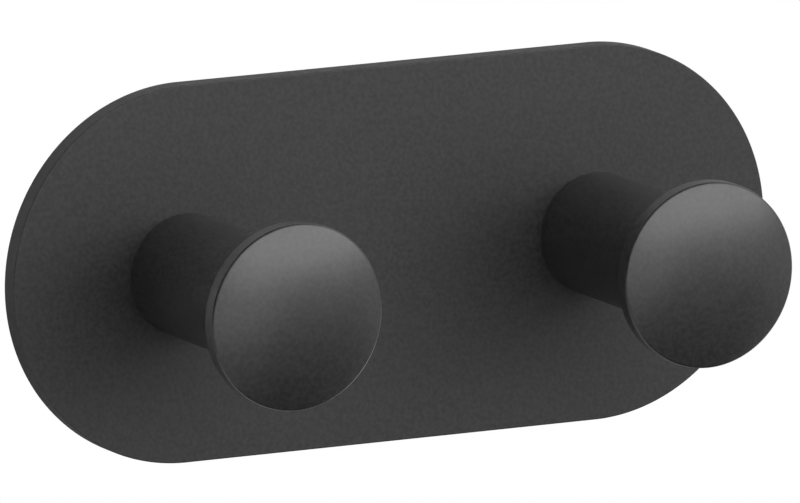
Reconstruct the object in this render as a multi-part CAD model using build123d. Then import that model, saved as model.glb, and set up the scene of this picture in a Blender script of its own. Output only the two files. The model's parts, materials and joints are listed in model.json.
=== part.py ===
from build123d import *
from math import radians, tan
import os

# A double wall hook: a pill-shaped plate that carries two turned mushroom pegs.
# The wall is the plane y = 0, the front faces -Y, +X is right and +Z is up, all in millimetres.

# Plate
plate_height = 50.0
plate_thickness = 2.8
plate_edge_chamfer = 0.2

# Pegs, which stand at the centres of the plate's end arcs
peg_spacing = 60.0
stem_diameter = 16.2
stem_length = 29.6
head_diameter = 24.6
rim_thickness = 2.1
rim_back_chamfer = 0.2
dome_rise = 2.0
dome_edge_chamfer = 0.2

# Countersunk socket screws, which hold the pegs from behind
thread_diameter = 4.0
screw_length = 12.0
screw_head_diameter = 7.5
screw_head_land = 0.25
screw_tip_chamfer = 0.6
countersink_angle = 90.0
socket_width = 2.5
socket_depth = 1.5

# Double-sided foam tape on the back
tape_thickness = 1.0
tape_margin = 2.0

# Fits
thread_clearance = 0.05
hole_clearance = 0.25
seat_clearance = 0.05
head_recess = 0.1
tape_hole_clearance = 0.8
bore_end_clearance = 2.0
bore_mouth_chamfer = 0.4
drill_point_angle = 118.0

# Distances from the wall
plate_back = tape_thickness
plate_front = plate_back + plate_thickness
head_back = plate_front + stem_length
dome_edge = head_back + rim_thickness
dome_tip = dome_edge + dome_rise
screw_face = plate_back + head_recess
screw_tip = screw_face + screw_length
bore_end = screw_tip + bore_end_clearance

# Radii of the screw and of the holes that it goes through
thread_radius = thread_diameter / 2
screw_head_radius = screw_head_diameter / 2
bore_radius = thread_radius + thread_clearance
countersink_slope = tan(radians(countersink_angle / 2))
countersink_depth = head_recess + screw_head_land
countersink_radius = screw_head_radius + seat_clearance + countersink_depth * countersink_slope
tape_hole_radius = countersink_radius + tape_hole_clearance

# Pegs and screws are turned about a line that leaves the wall at the centre of an end arc.
# Their sections are drawn as points of (radius, distance from the wall).
section_plane = Plane(origin=(0, 0, 0), x_dir=(1, 0, 0), z_dir=(0, 0, -1))
peg_centres = [-peg_spacing / 2, peg_spacing / 2]


def facing_front(distance):
    """A plane parallel to the wall at a distance from it, looking to the front."""
    return Plane(origin=(0, -distance, 0), x_dir=(1, 0, 0), z_dir=(0, -1, 0))


def facing_wall(distance):
    """A plane parallel to the wall at a distance from it, looking at the wall."""
    return Plane(origin=(0, -distance, 0), x_dir=(1, 0, 0), z_dir=(0, 1, 0))


def make_back_plate():
    """A flat pill with broken edges and two holes countersunk from behind."""
    with BuildPart() as plate:
        with BuildSketch(facing_front(plate_back)):
            SlotCenterToCenter(peg_spacing, plate_height)
        extrude(amount=plate_thickness)
        chamfer(plate.faces().filter_by(Axis.Y).edges(), length=plate_edge_chamfer)
        with Locations(facing_wall(plate_back)):
            with Locations(*[(centre, 0) for centre in peg_centres]):
                CounterSinkHole(
                    radius=thread_radius + hole_clearance,
                    counter_sink_radius=countersink_radius,
                    depth=plate_thickness,
                    counter_sink_angle=countersink_angle,
                )
    return plate.part


def make_peg():
    """A turned mushroom: stem, disc head, domed face, and a blind hole for the screw."""
    stem_radius = stem_diameter / 2
    head_radius = head_diameter / 2
    drill_point = bore_end + bore_radius / tan(radians(drill_point_angle / 2))
    with BuildPart() as peg:
        with BuildSketch(section_plane) as section:
            with BuildLine():
                Polyline(
                    (0, dome_tip),
                    (0, drill_point),
                    (bore_radius, bore_end),
                    (bore_radius, plate_front + bore_mouth_chamfer),
                    (bore_radius + bore_mouth_chamfer, plate_front),
                    (stem_radius, plate_front),
                    (stem_radius, head_back),
                    (head_radius, head_back),
                    (head_radius, dome_edge),
                )
                TangentArc((0, dome_tip), (head_radius, dome_edge), tangent=(1, 0))
            make_face()
            broken_corners = [
                ((head_radius, head_back), rim_back_chamfer),
                ((head_radius, dome_edge), dome_edge_chamfer),
            ]
            for place, size in broken_corners:
                corner = section.vertices().sort_by_distance(place)[0]
                chamfer(corner, length=size)
        revolve(axis=Axis.Y)
    return peg.part


def make_screw():
    """A countersunk screw with a hexagon socket, whose shank reaches into the peg."""
    cone_end = screw_face + screw_head_land + (screw_head_radius - thread_radius) / countersink_slope
    with BuildPart() as screw:
        with BuildSketch(section_plane):
            with BuildLine():
                Polyline(
                    (0, screw_face),
                    (screw_head_radius, screw_face),
                    (screw_head_radius, screw_face + screw_head_land),
                    (thread_radius, cone_end),
                    (thread_radius, screw_tip - screw_tip_chamfer),
                    (thread_radius - screw_tip_chamfer, screw_tip),
                    (0, screw_tip),
                    close=True,
                )
            make_face()
        revolve(axis=Axis.Y)
        with BuildSketch(facing_front(screw_face)):
            RegularPolygon(socket_width / 2, 6, major_radius=False)
        extrude(amount=socket_depth, mode=Mode.SUBTRACT)
    return screw.part


def make_mounting_tape():
    """A foam tape pill, set in from the plate's edge, with a hole around each screw head."""
    with BuildPart() as tape:
        with BuildSketch(facing_front(0)):
            SlotCenterToCenter(peg_spacing, plate_height - 2 * tape_margin)
            with Locations(*[(centre, 0) for centre in peg_centres]):
                Circle(tape_hole_radius, mode=Mode.SUBTRACT)
        extrude(amount=tape_thickness)
    return tape.part


# One file for each piece, with both screws in one
left_peg, right_peg = [Pos(centre, 0, 0) * make_peg() for centre in peg_centres]
pieces = {
    "back_plate": make_back_plate(),
    "left_peg": left_peg,
    "right_peg": right_peg,
    "peg_screws": Compound(children=[Pos(centre, 0, 0) * make_screw() for centre in peg_centres]),
    "mounting_tape": make_mounting_tape(),
}

os.makedirs("parts", exist_ok=True)
for name, piece in pieces.items():
    export_step(piece, f"parts/{name}.step")
    print(name, "volume", round(piece.volume, 1), "box", piece.bounding_box().size)
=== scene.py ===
# %% [markdown]
# # A double peg wall hook in black powder coat
#
# The object is a wall hook with two mushroom pegs on a thin pill-shaped plate. The plate is cut from sheet,
# the pegs are turned on a lathe, and a screw through the plate holds each peg from behind. Foam tape on the
# back sticks the hook to the wall.
#
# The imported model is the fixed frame. Every piece below is modelled in metres, in the same place and at the
# same size as the solid it stands for, with finer edges and its own finish. The wall is the plane y = 0, the
# pegs point along -Y, and +Z is up.

# %% Load the frame
import json
import math

import bmesh
import bpy
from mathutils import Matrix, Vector


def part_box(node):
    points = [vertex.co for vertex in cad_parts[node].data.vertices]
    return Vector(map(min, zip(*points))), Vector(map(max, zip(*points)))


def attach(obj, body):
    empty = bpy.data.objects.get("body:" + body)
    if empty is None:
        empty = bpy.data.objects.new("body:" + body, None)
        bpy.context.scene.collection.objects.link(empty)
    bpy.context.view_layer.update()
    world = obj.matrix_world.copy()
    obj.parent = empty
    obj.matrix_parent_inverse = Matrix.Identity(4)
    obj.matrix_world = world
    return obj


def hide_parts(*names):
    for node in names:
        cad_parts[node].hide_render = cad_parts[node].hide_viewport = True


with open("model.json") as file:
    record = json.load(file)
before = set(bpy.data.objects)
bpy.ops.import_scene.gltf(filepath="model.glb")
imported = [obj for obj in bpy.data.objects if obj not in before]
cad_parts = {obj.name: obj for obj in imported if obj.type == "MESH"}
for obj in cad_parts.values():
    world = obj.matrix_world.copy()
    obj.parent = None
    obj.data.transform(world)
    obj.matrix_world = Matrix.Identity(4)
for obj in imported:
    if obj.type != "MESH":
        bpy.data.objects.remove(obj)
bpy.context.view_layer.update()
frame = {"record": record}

MM = 0.001

# %% [markdown]
# ## Sizes
#
# A size that the frame holds is read from it, so the looks follow the solids. The box of each node gives its
# outline and depth, and the stem's radius and length stand in the record, where the stems are named as the
# places that a strap or towel hangs on. The few sizes that the frame doesn't hold, such as the rise of a
# dome, are typed where they are first needed.

# %% Read the sizes from the frame
plate_low, plate_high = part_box("back_plate")
left_low, left_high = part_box("left_peg")
right_low, right_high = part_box("right_peg")
screws_low, screws_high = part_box("peg_screws")
tape_low, tape_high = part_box("mounting_tape")
stem = next(mount["dims"] for mount in frame["record"]["mounts"] if mount["name"] == "left_neck")

left_axis = (left_low.x + left_high.x) / 2
right_axis = (right_low.x + right_high.x) / 2
peg_spacing = right_axis - left_axis
plate_back, plate_front = plate_high.y, plate_low.y
plate_radius = (plate_high.x - plate_low.x - peg_spacing) / 2
stem_radius = stem["r_mm"] * MM
head_back = plate_front - stem["length_mm"] * MM
head_radius = (left_high.z - left_low.z) / 2
dome_tip = left_low.y
print("plate radius, head radius, stem radius in mm:",
      [round(size / MM, 2) for size in (plate_radius, head_radius, stem_radius)])

# %% [markdown]
# ## Picking by place
#
# Operators work on whatever is selected, so three small helpers come first. One clears the selection before
# a new piece is added, because loading the frame leaves its nodes selected. One selects only the vertices or
# edges that pass a test on their place, which is what a hand on the mouse would do. The last one prints what
# was made, so that a hole in a mesh is found at once.

# %% Selection helpers
def clear_selection():
    """Leaves object mode with nothing selected."""
    if bpy.context.mode != "OBJECT":
        bpy.ops.object.mode_set(mode="OBJECT")
    bpy.ops.object.select_all(action="DESELECT")


def pick(piece, kind, test):
    """In edit mode, selects only the VERT or EDGE elements of the piece that pass the test."""
    bpy.ops.mesh.select_mode(type=kind)
    bpy.ops.mesh.select_all(action="DESELECT")
    mesh = bmesh.from_edit_mesh(piece.data)
    elements = {"VERT": mesh.verts, "EDGE": mesh.edges}[kind]
    for element in elements:
        element.select = test(element)
    mesh.select_flush_mode()
    bmesh.update_edit_mesh(piece.data)


def describe(piece):
    """Prints what was made: faces, open edges, size and volume."""
    mesh = bmesh.new()
    mesh.from_mesh(piece.data)
    open_edges = sum(not edge.is_manifold for edge in mesh.edges)
    size = [round(side / MM, 2) for side in piece.dimensions]
    print(f"{piece.name}: {len(mesh.faces)} faces, {open_edges} open edges, {size} mm,",
          f"{mesh.calc_volume(signed=True) / MM ** 3:.0f} cubic mm")
    mesh.free()


# %% [markdown]
# ## Pill-shaped sheets
#
# The plate and the tape behind it are both pills: two half discs with straight sides between them. A pill
# could be drawn as a curve and filled, but a disc shows better what the form is: its two halves are pulled
# apart by half the peg spacing, and the middle stretches into the straight sides. The disc is turned by half
# a step first, so that no vertex lies on the line where it parts. An extrusion then gives the sheet its
# depth, and a bevel breaks its edges.

# %% Make a pill
ROUND_STEPS = 256
ROUND_PROFILE = 0.5
TINY = 0.002 * MM


def make_pill(name, radius, back, front):
    """A closed pill between two planes, with its round ends centred on the pegs."""
    clear_selection()
    bpy.ops.mesh.primitive_circle_add(vertices=ROUND_STEPS, radius=radius, fill_type="NGON",
                                      location=(0, back, 0),
                                      rotation=(math.pi / 2, math.pi / ROUND_STEPS, 0))
    piece = bpy.context.active_object
    piece.name = name
    bpy.ops.object.transform_apply(location=True, rotation=True, scale=True)
    bpy.ops.object.mode_set(mode="EDIT")
    for side in (-1, 1):
        pick(piece, "VERT", lambda vert: vert.co.x * side > 0)
        bpy.ops.transform.translate(value=(side * peg_spacing / 2, 0, 0))
    bpy.ops.mesh.select_all(action="SELECT")
    bpy.ops.mesh.extrude_region_move(TRANSFORM_OT_translate={"value": (0, front - back, 0)})
    bpy.ops.mesh.select_all(action="SELECT")
    bpy.ops.mesh.normals_make_consistent(inside=False)
    return piece


def break_edges(piece, planes, size, steps):
    """Rounds every edge that lies in one of the given planes of y."""
    pick(piece, "EDGE", lambda edge: any(
        all(abs(vert.co.y - plane) < TINY for vert in edge.verts) for plane in planes))
    bpy.ops.mesh.bevel(offset=size, segments=steps, profile=ROUND_PROFILE, affect="EDGES")


flat_error = plate_radius * (1 - math.cos(math.pi / ROUND_STEPS))
print(f"the steps of a round end lie within {flat_error / MM:.4f} mm of the true arc")

# %% [markdown]
# ## The back plate
#
# The real plate is laser-cut sheet steel. Its sides are square, and deburring and the coat of powder leave
# the edges with a small round that catches a thin line of light. A bevel of a few segments gives that line.

# %% Cut the plate and round its edges
PLATE_ROUND = 0.15 * MM
PLATE_ROUND_STEPS = 4

plate = make_pill("coated_plate", plate_radius, plate_back, plate_front)
break_edges(plate, (plate_back, plate_front), PLATE_ROUND, PLATE_ROUND_STEPS)
clear_selection()
describe(plate)

# %% [markdown]
# ## Turned forms
#
# Pegs, screws and the drills that cut their holes are all round bodies. On a lathe each one is a section
# turned about its axis, and it is made the same way here: a chain of points is drawn from one vertex, its
# corners are rounded, and the spin tool turns it once round. The points where the chain meets the axis fall
# together, so doubles are merged, and the normals are recalculated because a spin can leave them inside out.

# %% Draw and turn a section
TURN_STEPS = 128
CORNER_STEPS = 5
MERGE_DISTANCE = TINY / 4


def start_section(name, axis, radius, y):
    """A new piece that is a single vertex, at a radius from a peg's axis."""
    clear_selection()
    bpy.ops.mesh.primitive_plane_add(size=MM, location=(axis + radius, y, 0))
    piece = bpy.context.active_object
    piece.name = name
    bpy.ops.object.transform_apply(location=True, rotation=True, scale=True)
    bpy.ops.object.mode_set(mode="EDIT")
    bpy.ops.mesh.select_mode(type="VERT")
    bpy.ops.mesh.select_all(action="SELECT")
    bpy.ops.mesh.merge(type="CENTER")
    return piece


def draw_to(piece, axis, radius, y):
    """Draws the section on from its last point, which is the selected one."""
    last = next(vert.co.copy() for vert in bmesh.from_edit_mesh(piece.data).verts if vert.select)
    bpy.ops.mesh.extrude_region_move(
        TRANSFORM_OT_translate={"value": Vector((axis + radius, y, 0)) - last})


def round_corner(piece, axis, radius, y, size):
    """Rounds one corner of a drawn section."""
    corner = Vector((axis + radius, y, 0))
    pick(piece, "VERT", lambda vert: (vert.co - corner).length < TINY)
    bpy.ops.mesh.bevel(offset=size, segments=CORNER_STEPS, profile=ROUND_PROFILE, affect="VERTICES")


def turn_section(piece, axis):
    """Spins the section once round the axis of a peg and closes it."""
    bpy.ops.mesh.select_all(action="SELECT")
    bpy.ops.mesh.spin(steps=TURN_STEPS, angle=2 * math.pi, center=(axis, 0, 0), axis=(0, 1, 0))
    bpy.ops.mesh.select_all(action="SELECT")
    bpy.ops.mesh.remove_doubles(threshold=MERGE_DISTANCE)
    bpy.ops.mesh.normals_make_consistent(inside=False)
    clear_selection()


flat_error = head_radius * (1 - math.cos(math.pi / TURN_STEPS))
print(f"the steps of a turned head lie within {flat_error / MM:.4f} mm of the true circle")

# %% [markdown]
# ## Countersunk holes behind the pegs
#
# A flat-head screw passes through the plate from behind, so each hole is a cone at the back and a plain bore
# to the front, where the stem covers it. The cone is as steep as a common countersink, 45 degrees to a side.
# The cutter is turned like a real one and taken away with a Boolean modifier, which is applied at once.

# %% Countersink the plate
OVERSHOOT = 0.5 * MM
HOLE_CLEARANCE = 0.25 * MM
COUNTERSINK_MARGIN = 0.4 * MM
screw_radius = 2.0 * MM
screw_head_radius = (screws_high.z - screws_low.z) / 2
hole_radius = screw_radius + HOLE_CLEARANCE
countersink_radius = screw_head_radius + COUNTERSINK_MARGIN
cone_end = plate_back - (countersink_radius - hole_radius)


def cut_away(piece, cutter):
    """Takes the cutter's form out of the piece and deletes the cutter."""
    clear_selection()
    bpy.context.view_layer.objects.active = piece
    cut = piece.modifiers.new("cut", "BOOLEAN")
    cut.object = cutter
    cut.operation = "DIFFERENCE"
    cut.solver = "EXACT"
    bpy.ops.object.modifier_apply(modifier=cut.name)
    bpy.data.objects.remove(cutter)


for axis in (left_axis, right_axis):
    drill = start_section("drill", axis, 0, plate_back + OVERSHOOT)
    draw_to(drill, axis, countersink_radius + OVERSHOOT, plate_back + OVERSHOOT)
    draw_to(drill, axis, hole_radius, cone_end)
    draw_to(drill, axis, hole_radius, plate_front - OVERSHOOT)
    draw_to(drill, axis, 0, plate_front - OVERSHOOT)
    turn_section(drill, axis)
    cut_away(plate, drill)
describe(plate)

# %% [markdown]
# ## The pegs
#
# A peg is one turned piece: a straight stem, a flat step out to the head, a thin rim and a shallow domed
# face. Behind, it has a blind hole for the screw, which ends in the cone that a twist drill leaves. The
# radius of the dome's sphere follows from the head's radius and the dome's rise.

# %% Sizes of a peg
DRILL_POINT = math.radians(118)
THREAD_CLEARANCE = 0.05 * MM
BORE_SPARE = 2.0 * MM
dome_rise = 2.0 * MM
bore_radius = screw_radius + THREAD_CLEARANCE
bore_end = screws_low.y - BORE_SPARE
bore_tip = bore_end - bore_radius / math.tan(DRILL_POINT / 2)

dome_edge = dome_tip + dome_rise
dome_radius = (head_radius ** 2 + dome_rise ** 2) / (2 * dome_rise)
dome_angle = math.asin(head_radius / dome_radius)
print(f"dome: sphere of {dome_radius / MM:.1f} mm, {math.degrees(dome_angle):.1f} degrees from tip to edge")

# %% [markdown]
# The section starts at the tip of the dome. Spinning that one vertex about the dome's centre draws the arc,
# and the rest is drawn from corner to corner, round to the blind hole. The edge of the dome gets a soft
# round, which is where the coat shows a dark and a light line, and the back of the rim only a small one.

# %% Draw and turn the left peg
DOME_STEPS = 28
DOME_ROUND = 0.25 * MM
RIM_ROUND = 0.15 * MM

left_peg = start_section("left_coated_peg", left_axis, 0, dome_tip)
bpy.ops.mesh.spin(steps=DOME_STEPS, angle=-dome_angle,
                  center=(left_axis, dome_tip + dome_radius, 0), axis=(0, 0, 1))
draw_to(left_peg, left_axis, head_radius, head_back)
draw_to(left_peg, left_axis, stem_radius, head_back)
draw_to(left_peg, left_axis, stem_radius, plate_front)
draw_to(left_peg, left_axis, bore_radius, plate_front)
draw_to(left_peg, left_axis, bore_radius, bore_end)
draw_to(left_peg, left_axis, 0, bore_tip)
round_corner(left_peg, left_axis, head_radius, dome_edge, DOME_ROUND)
round_corner(left_peg, left_axis, head_radius, head_back, RIM_ROUND)
turn_section(left_peg, left_axis)
describe(left_peg)

# %% [markdown]
# The second peg is the same turned piece, so it is copied with a mesh of its own and moved to its seat.

# %% Copy the peg to the right
def copy_to_the_right(piece, name):
    """A full copy of a left-hand piece at the right-hand peg."""
    clear_selection()
    piece.select_set(True)
    bpy.context.view_layer.objects.active = piece
    bpy.ops.object.duplicate(linked=False)
    copy = bpy.context.active_object
    copy.name = name
    bpy.ops.transform.translate(value=(peg_spacing, 0, 0))
    bpy.ops.object.transform_apply(location=True, rotation=True, scale=True)
    return copy


right_peg = copy_to_the_right(left_peg, "right_coated_peg")
describe(right_peg)

# %% [markdown]
# ## The screws
#
# Each peg is held by a countersunk socket screw. Its head and shank are turned as one section. Before the
# turn, the line of the shank is cut into short steps, so that the shank has enough rings of vertices for a
# thread.

# %% Turn the left screw
THREAD_PITCH = 0.7 * MM
RINGS_PER_TURN = 8
head_land = 0.25 * MM
tip_chamfer = 0.6 * MM
screw_face, screw_tip = screws_high.y, screws_low.y
shank_top = screw_face - head_land - (screw_head_radius - screw_radius)
thread_end = screw_tip + tip_chamfer
shank_ends = {round(shank_top / TINY), round(thread_end / TINY)}

left_screw = start_section("left_screw", left_axis, 0, screw_face)
draw_to(left_screw, left_axis, screw_head_radius, screw_face)
draw_to(left_screw, left_axis, screw_head_radius, screw_face - head_land)
draw_to(left_screw, left_axis, screw_radius, shank_top)
draw_to(left_screw, left_axis, screw_radius, thread_end)
draw_to(left_screw, left_axis, screw_radius - tip_chamfer, screw_tip)
draw_to(left_screw, left_axis, 0, screw_tip)
pick(left_screw, "EDGE", lambda edge: {round(vert.co.y / TINY) for vert in edge.verts} == shank_ends)
bpy.ops.mesh.subdivide(number_cuts=int(RINGS_PER_TURN * (shank_top - thread_end) / THREAD_PITCH))
turn_section(left_screw, left_axis)
describe(left_screw)

# %% [markdown]
# The thread is a ridge that winds round the shank. Each vertex of the shank is drawn towards the axis by a
# wave of its height and its angle, so the ridge moves on by one pitch in each turn.

# %% Wind the thread
THREAD_DEPTH = 0.4 * MM

for vert in left_screw.data.vertices:
    if thread_end + TINY < vert.co.y < shank_top - TINY:
        across = Vector((vert.co.x - left_axis, vert.co.z))
        winding = math.atan2(across.y, across.x) / (2 * math.pi)
        height = math.cos(2 * math.pi * (vert.co.y / THREAD_PITCH - winding))
        across *= 1 - THREAD_DEPTH * (1 - height) / 2 / screw_radius
        vert.co.x, vert.co.z = left_axis + across.x, across.y
describe(left_screw)

# %% [markdown]
# The socket is made as in the factory: a hexagon is pressed in round a drilled hole that goes a little
# deeper, so its floor is a dark cone.

# %% Cut the socket
PILOT_SHARE = 0.48
PILOT_SPARE = 0.15 * MM
socket_width = 2.5 * MM
socket_depth = 1.5 * MM
pilot_radius = PILOT_SHARE * socket_width
pilot_end = screw_face - socket_depth - PILOT_SPARE
pilot_tip = pilot_end - pilot_radius / math.tan(DRILL_POINT / 2)

clear_selection()
bpy.ops.mesh.primitive_cylinder_add(vertices=6, radius=socket_width / math.sqrt(3),
                                    depth=2 * socket_depth, location=(left_axis, screw_face, 0),
                                    rotation=(math.pi / 2, 0, 0))
cut_away(left_screw, bpy.context.active_object)

pilot = start_section("pilot_drill", left_axis, 0, pilot_tip)
draw_to(pilot, left_axis, pilot_radius, pilot_end)
draw_to(pilot, left_axis, pilot_radius, screw_face + OVERSHOOT)
draw_to(pilot, left_axis, 0, screw_face + OVERSHOOT)
turn_section(pilot, left_axis)
cut_away(left_screw, pilot)
describe(left_screw)

# %% [markdown]
# The finished screw is copied to the other peg, as the peg itself was.

# %% Copy the screw to the right
right_screw = copy_to_the_right(left_screw, "right_screw")
describe(right_screw)

# %% [markdown]
# ## The foam tape
#
# A die-cut pad of double-sided foam tape covers most of the back, with a round hole over each screw head. It
# is the plate's own pill, a little smaller, and the cutter is a plain round punch.

# %% Cut the tape
TAPE_ROUND = 0.15 * MM
TAPE_ROUND_STEPS = 2
PUNCH_MARGIN = 0.8 * MM
PUNCH_LENGTH = 6 * MM
PUNCH_STEPS = 96
punch_radius = countersink_radius + PUNCH_MARGIN

tape = make_pill("foam_tape", (tape_high.z - tape_low.z) / 2, tape_high.y, tape_low.y)
break_edges(tape, (tape_low.y, tape_high.y), TAPE_ROUND, TAPE_ROUND_STEPS)
for axis in (left_axis, right_axis):
    clear_selection()
    bpy.ops.mesh.primitive_cylinder_add(vertices=PUNCH_STEPS, radius=punch_radius, depth=PUNCH_LENGTH,
                                        location=(axis, tape_low.y, 0), rotation=(math.pi / 2, 0, 0))
    cut_away(tape, bpy.context.active_object)
describe(tape)

# %% [markdown]
# ## Smooth shading
#
# Turned and rounded faces are shaded smooth, while anything sharper than the angle below stays a crisp edge.
# Weighted normals then follow the large faces, so a flat face stays flat right up to its narrow round.

# %% Shade the pieces
CRISP_ANGLE = math.radians(32)

pieces = [plate, left_peg, right_peg, left_screw, right_screw, tape]
for piece in pieces:
    clear_selection()
    piece.select_set(True)
    bpy.context.view_layer.objects.active = piece
    bpy.ops.object.shade_smooth_by_angle(angle=CRISP_ANGLE)
    weighted = piece.modifiers.new("weighted_normals", "WEIGHTED_NORMAL")
    weighted.keep_sharp = True
    bpy.ops.object.modifier_apply(modifier=weighted.name)
print("shaded", len(pieces), "pieces")

# %% [markdown]
# ## Tools for the finishes
#
# Colours are written as sRGB hex values, as a paint chart gives them, and one function turns them to the
# linear values that the shader works in. Another starts a material, and a third adds a node with its settings
# and links. A noise texture keeps mostly to the middle of its range, so that part is stretched where a
# pattern is to run from one end of a scale to the other.

# %% Colour and node helpers
NOISE_RANGE = {"From Min": 0.3, "From Max": 0.7}


def colour(hex_code):
    """The linear RGBA of an sRGB hex colour, by the curve of the sRGB standard."""
    shares = [int(hex_code[at:at + 2], 16) / 255 for at in (1, 3, 5)]
    return [share / 12.92 if share <= 0.04045 else ((share + 0.055) / 1.055) ** 2.4
            for share in shares] + [1.0]


def new_material(name):
    """A new material, its node tree and its shader."""
    material = bpy.data.materials.new(name)
    material.use_nodes = True
    tree = material.node_tree
    return material, tree, tree.nodes["Principled BSDF"]


def add_node(tree, kind, inputs, **settings):
    """Adds a node; an input is a value to set or another node's output to link."""
    node = tree.nodes.new(kind)
    for name, value in settings.items():
        setattr(node, name, value)
    for name, value in inputs.items():
        if isinstance(value, bpy.types.NodeSocket):
            tree.links.new(value, node.inputs[name])
        else:
            node.inputs[name].default_value = value
    return node


print("half grey, #808080, in linear light:", round(colour("#808080")[0], 3))

# %% [markdown]
# ## Black powder coat
#
# Powder coat is plastic powder, melted and cured on the metal. It flows into a film that is almost smooth,
# with a fine mottle left by the grains of powder. Light spreads widely on it, so a black coat looks dark
# grey under soft light, and paler where a lamp is mirrored at a low angle. Two noise textures give it: a fine
# one for the grains, and a wide one for the flow of the film. The fine one is a bump, and it also darkens the
# colour where the bump is low, as painted shade in the pits. Grains of powder are well under 0.1 mm, which
# is too fine to show, so the mottle is drawn about ten times as coarse.

# %% Make a powder coat
GRAIN_MM = 0.56
FLOW_MM = 4.0
GLOSS_DRIFT = 0.02


def powder_coat(name, pit_shade_hex, film_hex, shine, roughness, grain_height_mm):
    """Gives the eye painted shade in the pits between melted grains, where the bump is low, and a gloss that
    drifts with the flow.
    """
    material, tree, shader = new_material(name)
    shader.inputs["Specular IOR Level"].default_value = shine
    place = add_node(tree, "ShaderNodeTexCoord", {}).outputs["Object"]
    grain = add_node(tree, "ShaderNodeTexNoise", {
        "Vector": place, "Scale": 1 / (GRAIN_MM * MM), "Detail": 1.0, "Roughness": 0.4}).outputs["Fac"]
    flow = add_node(tree, "ShaderNodeTexNoise", {
        "Vector": place, "Scale": 1 / (FLOW_MM * MM), "Detail": 2.0, "Roughness": 0.5}).outputs["Fac"]
    melted = add_node(tree, "ShaderNodeMapRange", {"Value": grain, **NOISE_RANGE})
    # The darker pit colour is painted shade: it darkens the coat where the grain bump is low.
    film = add_node(tree, "ShaderNodeMix", {
        "Factor": melted.outputs["Result"], "A": colour(pit_shade_hex), "B": colour(film_hex)},
        data_type="RGBA")
    gloss = add_node(tree, "ShaderNodeMapRange", {
        "Value": flow, **NOISE_RANGE,
        "To Min": roughness - GLOSS_DRIFT, "To Max": roughness + GLOSS_DRIFT})
    bump = add_node(tree, "ShaderNodeBump", {
        "Height": grain, "Distance": grain_height_mm * MM, "Strength": 1.0})
    tree.links.new(film.outputs["Result"], shader.inputs["Base Color"])
    tree.links.new(gloss.outputs["Result"], shader.inputs["Roughness"])
    tree.links.new(bump.outputs["Normal"], shader.inputs["Normal"])
    return material


print(f"powder coat: mottle of {GRAIN_MM} mm, flow of {FLOW_MM} mm")

# %% [markdown]
# The plate has a matt coat with a clear mottle. The pegs have a smoother, satin one, which shows a soft
# mirror image of the key light on each dome.

# %% Mix the two coats
plate_finish = powder_coat("matt_black_powder_coat", pit_shade_hex="#151515", film_hex="#222222",
                           shine=0.45, roughness=0.5, grain_height_mm=0.015)
peg_finish = powder_coat("satin_black_powder_coat", pit_shade_hex="#191919", film_hex="#242424",
                         shine=0.5, roughness=0.3, grain_height_mm=0.006)
print("mixed", plate_finish.name, "and", peg_finish.name)

# %% [markdown]
# ## Turned steel
#
# The screws are plain steel, turned from bar. The turning tool leaves fine rings round the axis, and handling
# leaves smudges of oil, so the grey of the heads is never even. A wave texture in rings about the axis of
# each screw gives the tool marks; at a scale of 1 its rings are a tenth of pi apart. The real marks are about
# 0.05 mm apart, which is too fine to show, so they are drawn ten times as coarse.

# %% Steel
RING_MM = 0.5
GROOVE_MM = 0.03
SMUDGE_MM = 1.5
STEEL_GREY = "#c3c4c5"
STEEL_ROUGHNESS = 0.32
CLEAN_DRIFT, SMUDGED_DRIFT = -0.06, 0.08


def turned_steel(name, axis):
    """Gives the eye fine rings about one screw's axis, and a gloss that smudges break up."""
    material, tree, shader = new_material(name)
    shader.inputs["Base Color"].default_value = colour(STEEL_GREY)
    shader.inputs["Metallic"].default_value = 1.0
    place = add_node(tree, "ShaderNodeTexCoord", {}).outputs["Object"]
    about_axis = add_node(tree, "ShaderNodeMapping", {
        "Vector": place, "Location": (-axis, 0, 0)}).outputs["Vector"]
    rings = add_node(tree, "ShaderNodeTexWave", {
        "Vector": about_axis, "Scale": math.pi / (10 * RING_MM * MM), "Distortion": 0.6, "Detail": 2.0},
        wave_type="RINGS", rings_direction="Y").outputs["Fac"]
    smudges = add_node(tree, "ShaderNodeTexNoise", {
        "Vector": about_axis, "Scale": 1 / (SMUDGE_MM * MM), "Detail": 3.0}).outputs["Fac"]
    gloss = add_node(tree, "ShaderNodeMapRange", {
        "Value": smudges, **NOISE_RANGE,
        "To Min": STEEL_ROUGHNESS + CLEAN_DRIFT, "To Max": STEEL_ROUGHNESS + SMUDGED_DRIFT})
    bump = add_node(tree, "ShaderNodeBump", {
        "Height": rings, "Distance": GROOVE_MM * MM, "Strength": 1.0})
    tree.links.new(gloss.outputs["Result"], shader.inputs["Roughness"])
    tree.links.new(bump.outputs["Normal"], shader.inputs["Normal"])
    return material


left_steel = turned_steel("left_turned_steel", left_axis)
right_steel = turned_steel("right_turned_steel", right_axis)
print(f"{left_steel.name} and {right_steel.name}: rings {RING_MM} mm apart")

# %% [markdown]
# ## Closed-cell foam
#
# The tape is a dark grey polyethylene foam with adhesive on both faces. Its cells are closed bubbles, about a
# third of a millimetre across. Cut open, they leave a dull, pitted face that swallows the light, with a faint
# cloudiness where the foam is denser. A Voronoi texture gives the cells: its distance is small in the middle
# of a cell and large at its wall. The middle of each cell is coloured darker than its wall, as painted shade
# in the hollow.

# %% Foam
CELL_MM = 0.35
CELL_DEPTH_MM = 0.05
CELL_RANGE = {"From Min": 0.1, "From Max": 0.7}
CLOUD_MM = 6.0
FOAM_SHINE = 0.3
DULL, DULLEST = 0.8, 0.95


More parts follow.
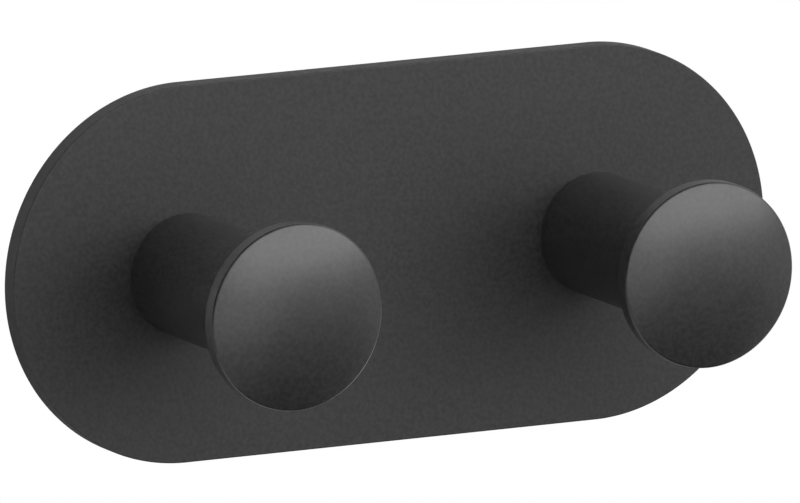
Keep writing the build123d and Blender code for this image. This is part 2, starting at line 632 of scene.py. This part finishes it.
def closed_cell_foam(name, hollow_shade_hex, wall_hex):
    """Gives the eye a dull grey with a fine pitted grain, and painted shade that darkens the hollows of its
    cells.
    """
    material, tree, shader = new_material(name)
    shader.inputs["Specular IOR Level"].default_value = FOAM_SHINE
    place = add_node(tree, "ShaderNodeTexCoord", {}).outputs["Object"]
    cells = add_node(tree, "ShaderNodeTexVoronoi", {
        "Vector": place, "Scale": 1 / (CELL_MM * MM)}, feature="SMOOTH_F1").outputs["Distance"]
    clouds = add_node(tree, "ShaderNodeTexNoise", {
        "Vector": place, "Scale": 1 / (CLOUD_MM * MM), "Detail": 3.0}).outputs["Fac"]
    wall = add_node(tree, "ShaderNodeMapRange", {"Value": cells, **CELL_RANGE})
    # The darker hollow colour is painted shade in the middle of each cell, where the bump is low.
    shade = add_node(tree, "ShaderNodeMix", {
        "Factor": wall.outputs["Result"], "A": colour(hollow_shade_hex), "B": colour(wall_hex)},
        data_type="RGBA")
    dullness = add_node(tree, "ShaderNodeMapRange", {
        "Value": clouds, **NOISE_RANGE, "To Min": DULL, "To Max": DULLEST})
    bump = add_node(tree, "ShaderNodeBump", {
        "Height": cells, "Distance": CELL_DEPTH_MM * MM, "Strength": 1.0})
    tree.links.new(shade.outputs["Result"], shader.inputs["Base Color"])
    tree.links.new(dullness.outputs["Result"], shader.inputs["Roughness"])
    tree.links.new(bump.outputs["Normal"], shader.inputs["Normal"])
    return material


foam = closed_cell_foam("closed_cell_foam", hollow_shade_hex="#4a4a4c", wall_hex="#5d5d60")
print(f"{foam.name}: cells of {CELL_MM} mm")

# %% [markdown]
# ## Fix every piece to the frame
#
# Each piece takes its finish, rides on the one body of the hook, and stands for its solid in the frame.

# %% Dress the frame
outfit = [
    (plate, plate_finish, "plate_coat", "back_plate"),
    (left_peg, peg_finish, "peg_coat", "left_peg"),
    (right_peg, peg_finish, "peg_coat", "right_peg"),
    (left_screw, left_steel, "screw_steel", "peg_screws"),
    (right_screw, right_steel, "screw_steel", "peg_screws"),
    (tape, foam, "tape_foam", "mounting_tape"),
]
for piece, finish, slot, node in outfit:
    piece.data.materials.clear()
    piece.data.materials.append(finish)
    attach(piece, "root")
    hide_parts(node)
print("dressed", len(outfit), "pieces")

# %% [markdown]
# ## Camera
#
# The photograph was taken from far away with a long lens, a little above the hook and well to its left, so
# lines that are parallel stay parallel. The angle, the scale and the point in the middle of the picture were
# fitted to the outline of the plate and the rims of the heads. The distance follows from the lens and the
# scale.

# %% Place the camera
LENS_MM = 1075
SENSOR_MM = 36
PICTURE_WIDTH_PX = 800
PIXELS_PER_MM = 7.664
VIEW_AZIMUTH, VIEW_ELEVATION = -27.28, 11.315
AIM_RIGHT_MM, AIM_DOWN_MM = 2.347, 0.229


def direction(azimuth_deg, elevation_deg):
    """A unit vector from the hook: azimuth 0 is straight out from the wall, and 90 is to the right."""
    azimuth, elevation = math.radians(azimuth_deg), math.radians(elevation_deg)
    return Vector((math.sin(azimuth) * math.cos(elevation), -math.cos(azimuth) * math.cos(elevation),
                   math.sin(elevation)))


towards_camera = direction(VIEW_AZIMUTH, VIEW_ELEVATION)
picture_right = direction(VIEW_AZIMUTH + 90, 0)
picture_up = towards_camera.cross(picture_right)
aim = Vector((0, plate_back, 0)) + picture_right * AIM_RIGHT_MM * MM - picture_up * AIM_DOWN_MM * MM
distance = LENS_MM / SENSOR_MM * PICTURE_WIDTH_PX / PIXELS_PER_MM * MM

clear_selection()
bpy.ops.object.camera_add(location=aim + towards_camera * distance,
                          rotation=towards_camera.to_track_quat("Z", "Y").to_euler())
camera = bpy.context.active_object
camera.data.sensor_width = SENSOR_MM
camera.data.lens = LENS_MM
bpy.context.scene.camera = camera
print(f"camera {distance:.2f} m from the hook")

# %% [markdown]
# ## A pale floor
#
# The hook hangs over a wide, pale floor that keeps its shadow. A plain plane is enough for it. It isn't part
# of the hook.

# %% Lay the floor
FLOOR_DROP = 0.6
FLOOR_SIZE = 30

clear_selection()
bpy.ops.mesh.primitive_plane_add(size=FLOOR_SIZE, location=(0, 0, -FLOOR_DROP))
floor = bpy.context.active_object
floor.name = "floor"
print(f"floor {FLOOR_DROP} m below the hook")

# %% [markdown]
# The floor is dull paper. Far from the hook it runs out into white. Only rays that come straight from the
# camera, or by way of gloss or glass, see that white, so it brightens the picture and not the coat.

# %% Cover the floor with paper
FADE_START, FADE_END = 1.2, 2.4
PAPER_ROUGHNESS = 0.9
WHITE = "#ffffff"


def sees_white(tree):
    """1 for camera, glossy and transmitted rays, and 0 for the rays that light a dull surface."""
    path = add_node(tree, "ShaderNodeLightPath", {}).outputs
    straight_or_gloss = add_node(tree, "ShaderNodeMath", {
        0: path["Is Camera Ray"], 1: path["Is Glossy Ray"]}, operation="MAXIMUM").outputs[0]
    return add_node(tree, "ShaderNodeMath", {
        0: straight_or_gloss, 1: path["Is Transmission Ray"]}, operation="MAXIMUM").outputs[0]


paper, tree, dull_paper = new_material("pale_floor_paper")
dull_paper.inputs["Base Color"].default_value = colour("#e4e4e4")
dull_paper.inputs["Roughness"].default_value = PAPER_ROUGHNESS
place = add_node(tree, "ShaderNodeTexCoord", {}).outputs["Object"]
reach = add_node(tree, "ShaderNodeVectorMath", {0: place}, operation="LENGTH")
fade = add_node(tree, "ShaderNodeMapRange", {
    "Value": reach.outputs["Value"], "From Min": FADE_START, "From Max": FADE_END},
    interpolation_type="SMOOTHSTEP")
share = add_node(tree, "ShaderNodeMath", {
    0: fade.outputs["Result"], 1: sees_white(tree)}, operation="MULTIPLY")
white = add_node(tree, "ShaderNodeEmission", {"Color": colour(WHITE), "Strength": 1.0})
blend = add_node(tree, "ShaderNodeMixShader", {
    0: share.outputs[0], 1: dull_paper.outputs["BSDF"], 2: white.outputs["Emission"]})
tree.links.new(blend.outputs["Shader"], tree.nodes["Material Output"].inputs["Surface"])
floor.data.materials.append(paper)
print(f"{paper.name}: white from {FADE_END} m on")

# %% [markdown]
# ## A white room
#
# The world is white as well, at full strength for the same rays as on the floor. For the rays that light a
# dull surface it has half that strength, like the walls of a studio, and the lamps below do the rest.

# %% Light the room
ROOM_LIGHT = 0.5

world = bpy.data.worlds.new("white_studio")
bpy.context.scene.world = world
world.use_nodes = True
tree = world.node_tree
room = add_node(tree, "ShaderNodeMapRange", {
    "Value": sees_white(tree), "To Min": ROOM_LIGHT, "To Max": 1.0})
background = tree.nodes["Background"]
background.inputs["Color"].default_value = colour(WHITE)
tree.links.new(room.outputs["Result"], background.inputs["Strength"])
print(f"{world.name}: strength {ROOM_LIGHT} for dull surfaces")

# %% [markdown]
# ## Soft studio light
#
# A studio lights a black object with softboxes, wide lamps that give soft shadows and soft reflections. Each
# one here is a rectangular area lamp that faces the hook. A fill differs from the others only in that it
# doesn't show as a reflection.

# %% Make a softbox
def softbox(name, azimuth, elevation, away, width, height, watts, mirrored=True):
    """A rectangular lamp that faces the hook and stays out of the picture."""
    place = direction(azimuth, elevation) * away
    clear_selection()
    bpy.ops.object.light_add(type="AREA", location=place,
                             rotation=place.to_track_quat("Z", "Y").to_euler())
    lamp = bpy.context.active_object
    lamp.name = name
    lamp.data.shape = "RECTANGLE"
    lamp.data.size = width
    lamp.data.size_y = height
    lamp.data.energy = watts
    lamp.visible_camera = False
    lamp.visible_glossy = mirrored
    print(f"{name}: {width} x {height} m, {watts} W")


# %% [markdown]
# A wide softbox in front and to the right, a little above the hook, is the key. A weaker one under it makes
# its lower edge fade, so the mirror image on each dome runs softly from light to dark. One in front lifts
# the shadows, and one low on the right draws the fine light line on the right edge of each head. Three fills,
# on the left, behind on the left and above, light the stems and the plate. The one behind reaches past the
# edge of the plate to the stem on the left, near its head.

# %% Set the lamps
softbox("key_softbox", azimuth=25, elevation=21, away=0.8, width=1.0, height=0.4, watts=3.8)
softbox("low_key_softbox", azimuth=25, elevation=12, away=0.8, width=1.0, height=0.3, watts=0.9)
softbox("front_softbox", azimuth=-5, elevation=-5, away=0.9, width=0.6, height=0.4, watts=0.6)
softbox("right_softbox", azimuth=112, elevation=-31, away=0.8, width=0.5, height=0.25, watts=0.55)
softbox("left_fill", azimuth=-60, elevation=-18, away=0.8, width=0.6, height=0.5, watts=1.0,
        mirrored=False)
softbox("back_fill", azimuth=-118, elevation=14, away=0.8, width=0.3, height=0.6, watts=2.5,
        mirrored=False)
softbox("top_fill", azimuth=0, elevation=75, away=0.8, width=0.8, height=0.8, watts=8.2,
        mirrored=False)

# %% [markdown]
# ## Cards
#
# Studios shape dark, glossy things with cards that stand just out of the picture. Here they show only as
# reflections. Each card is a plain sheet of dull board that faces the hook. It has one tone, or runs from one
# grey at its foot to another at its head.

# %% Make a card
def card(name, azimuth, elevation, away, width, height, foot_hex, head_hex):
    """A dull card that faces the hook and shows only in its gloss, of one tone or graded."""
    centre = direction(azimuth, elevation) * away
    clear_selection()
    bpy.ops.mesh.primitive_plane_add(size=1, location=centre,
                                     rotation=centre.to_track_quat("Z", "Y").to_euler())
    sheet = bpy.context.active_object
    sheet.name = name
    sheet.scale = (width, height, 1)
    bpy.ops.object.transform_apply(location=True, rotation=True, scale=True)
    sheet.visible_camera = False
    sheet.visible_diffuse = False
    sheet.visible_shadow = False

    board, tree, shader = new_material(f"{name}_matt_board")
    shader.inputs["Roughness"].default_value = 1.0
    shader.inputs["Specular IOR Level"].default_value = 0.0
    shader.inputs["Base Color"].default_value = colour(foot_hex)
    if head_hex != foot_hex:
        heights = [corner.co.z for corner in sheet.data.vertices]
        place = add_node(tree, "ShaderNodeTexCoord", {}).outputs["Object"]
        level = add_node(tree, "ShaderNodeSeparateXYZ", {"Vector": place}).outputs["Z"]
        rise = add_node(tree, "ShaderNodeMapRange", {
            "Value": level, "From Min": min(heights), "From Max": max(heights)})
        tone = add_node(tree, "ShaderNodeMix", {
            "Factor": rise.outputs["Result"], "A": colour(foot_hex), "B": colour(head_hex)},
            data_type="RGBA")
        tree.links.new(tone.outputs["Result"], shader.inputs["Base Color"])
    sheet.data.materials.append(board)
    print(f"{name}: {width} x {height} m")


# %% [markdown]
# The card in front is graded from black to grey and carries the fade on the domes further down, and the black
# one below keeps their lower edge dark. Black ones on the left and above draw the dark line along the edge of
# each dome. Behind the plate, a graded card and an almost even grey one above it give the rims of the heads
# and the sides of the plate their tone.

# %% Set the cards
BLACK = "#080808"

card("front_card", azimuth=28, elevation=-26, away=0.4, width=0.32, height=0.24,
     foot_hex=BLACK, head_hex="#bcbcbc")
card("low_card", azimuth=40, elevation=-68, away=0.4, width=0.6, height=0.36,
     foot_hex=BLACK, head_hex=BLACK)
card("left_card", azimuth=-80, elevation=22, away=0.6, width=1.2, height=0.8,
     foot_hex=BLACK, head_hex=BLACK)
card("top_card", azimuth=-20, elevation=75, away=0.55, width=0.8, height=0.75,
     foot_hex=BLACK, head_hex=BLACK)
card("back_card", azimuth=180, elevation=-14, away=0.45, width=0.9, height=0.48,
     foot_hex=BLACK, head_hex="#acacac")
card("high_back_card", azimuth=180, elevation=30, away=0.45, width=0.9, height=0.26,
     foot_hex="#acacac", head_hex="#a8a8a8")

# %% [markdown]
# ## View transform
#
# The Standard view transform shows a colour about as it is written, with no film curve over it.

# %% Set the view transform
bpy.context.scene.view_settings.view_transform = "Standard"
print("view transform:", bpy.context.scene.view_settings.view_transform)
